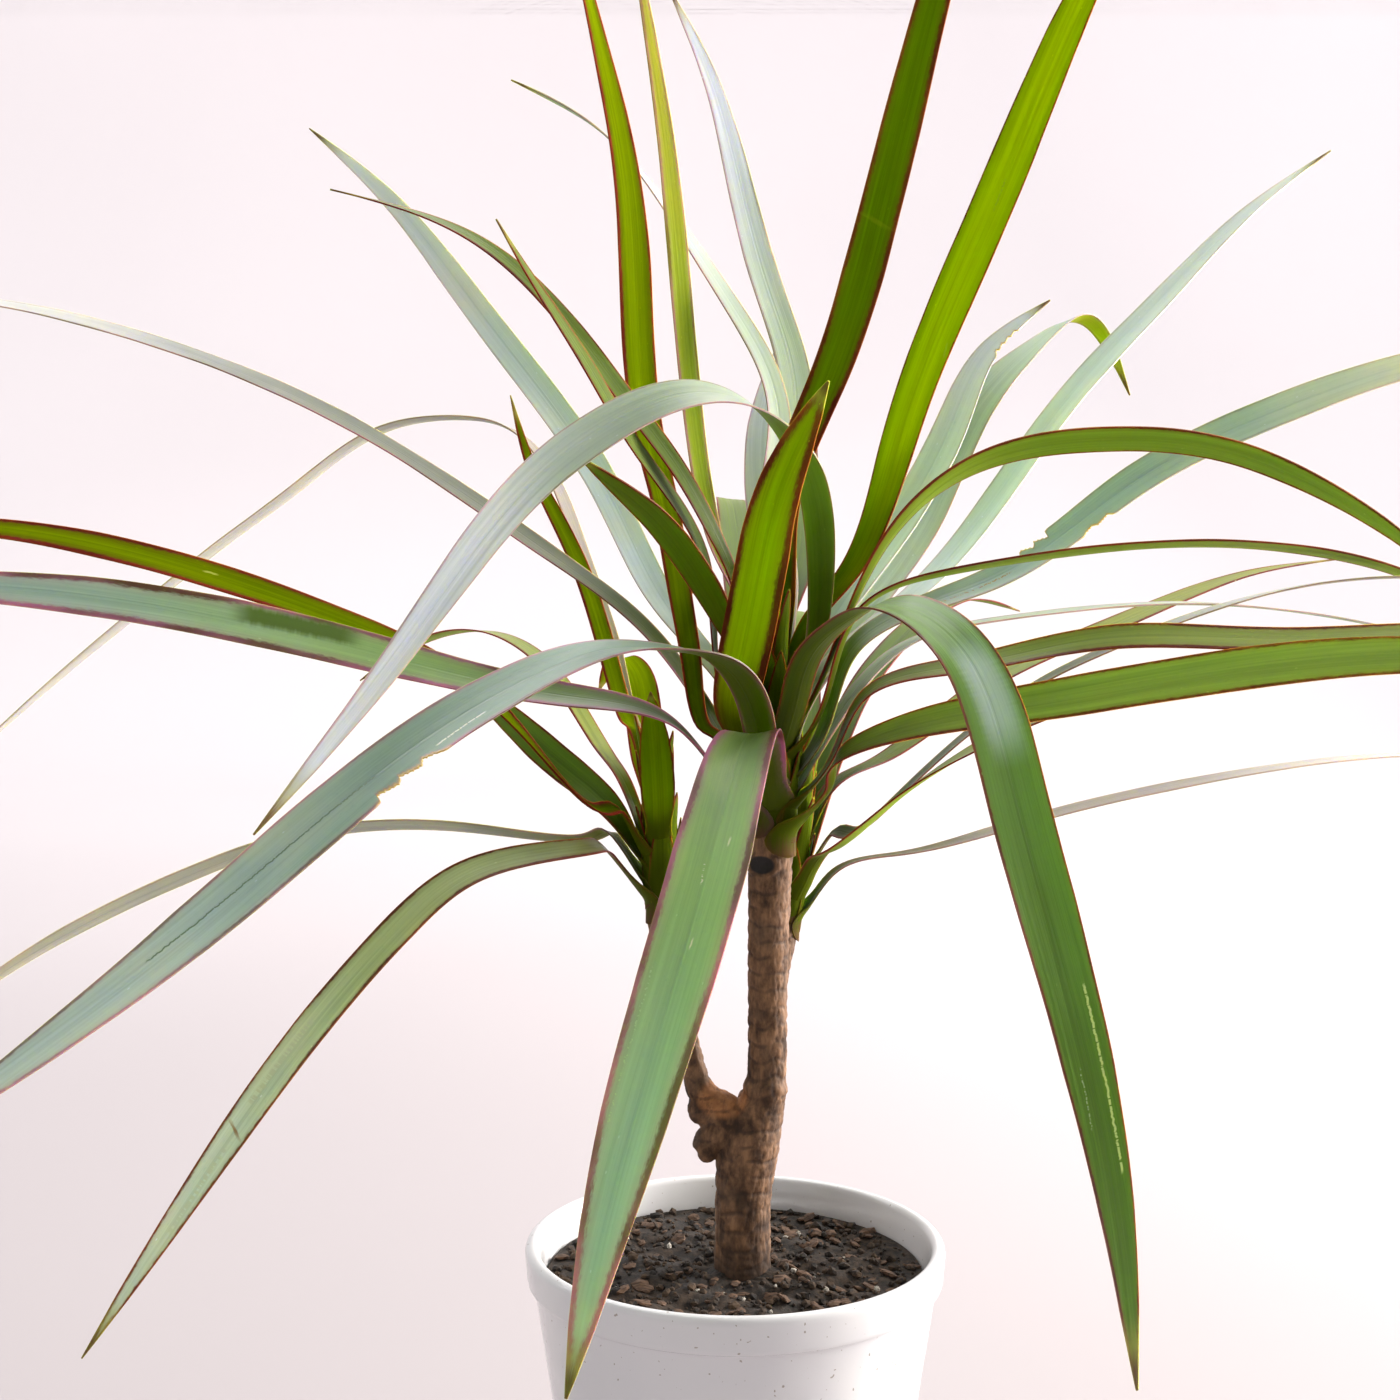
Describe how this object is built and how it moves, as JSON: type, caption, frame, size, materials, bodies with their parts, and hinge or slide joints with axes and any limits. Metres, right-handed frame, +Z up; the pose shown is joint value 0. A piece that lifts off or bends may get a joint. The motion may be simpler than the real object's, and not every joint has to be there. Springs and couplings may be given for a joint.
{
  "type": "potted dragon tree",
  "caption": "House plant with long arching strap leaves in crowns on a forked ringed woody trunk, standing in soil in a plain round white pot.",
  "frame": {"origin": "centre of the pot's flat base, on the surface it stands on", "axes": "+Z up, +X to the right and -Y towards the viewer in the reference picture"},
  "size_m": [0.6523, 0.4189, 0.5332],
  "materials": {
    "pot_glaze": "glossy white glaze",
    "soil": "rough dark potting soil",
    "bark": "rough ringed bark",
    "leaf": "smooth semi-gloss leaf with dark red margins"
  },
  "bodies": {
    "root": {"pot": "pot_glaze", "soil": "soil", "trunk": "bark", "leaf_main_01": "leaf", "leaf_main_02": "leaf", "leaf_main_03": "leaf", "leaf_main_04": "leaf", "leaf_main_05": "leaf", "leaf_main_06": "leaf", "leaf_main_07": "leaf", "leaf_main_08": "leaf", "leaf_main_09": "leaf", "leaf_main_10": "leaf", "leaf_main_11": "leaf", "leaf_main_12": "leaf", "leaf_main_13": "leaf", "leaf_main_14": "leaf", "leaf_main_15": "leaf", "leaf_main_16": "leaf", "leaf_main_17": "leaf", "leaf_main_18": "leaf", "leaf_main_19": "leaf", "leaf_main_20": "leaf", "leaf_main_21": "leaf", "leaf_main_22": "leaf", "leaf_main_23": "leaf", "leaf_main_24": "leaf", "leaf_main_25": "leaf", "leaf_main_26": "leaf", "leaf_main_27": "leaf", "leaf_main_28": "leaf", "leaf_main_29": "leaf", "leaf_left_01": "leaf", "leaf_left_02": "leaf", "leaf_left_03": "leaf", "leaf_left_04": "leaf", "leaf_left_05": "leaf", "leaf_left_06": "leaf", "leaf_left_07": "leaf", "leaf_left_08": "leaf", "leaf_left_09": "leaf", "leaf_rear_01": "leaf", "leaf_rear_02": "leaf", "leaf_rear_03": "leaf", "leaf_rear_04": "leaf", "leaf_rear_05": "leaf", "leaf_rear_06": "leaf", "leaf_rear_07": "leaf"}
  },
  "joints": []
}
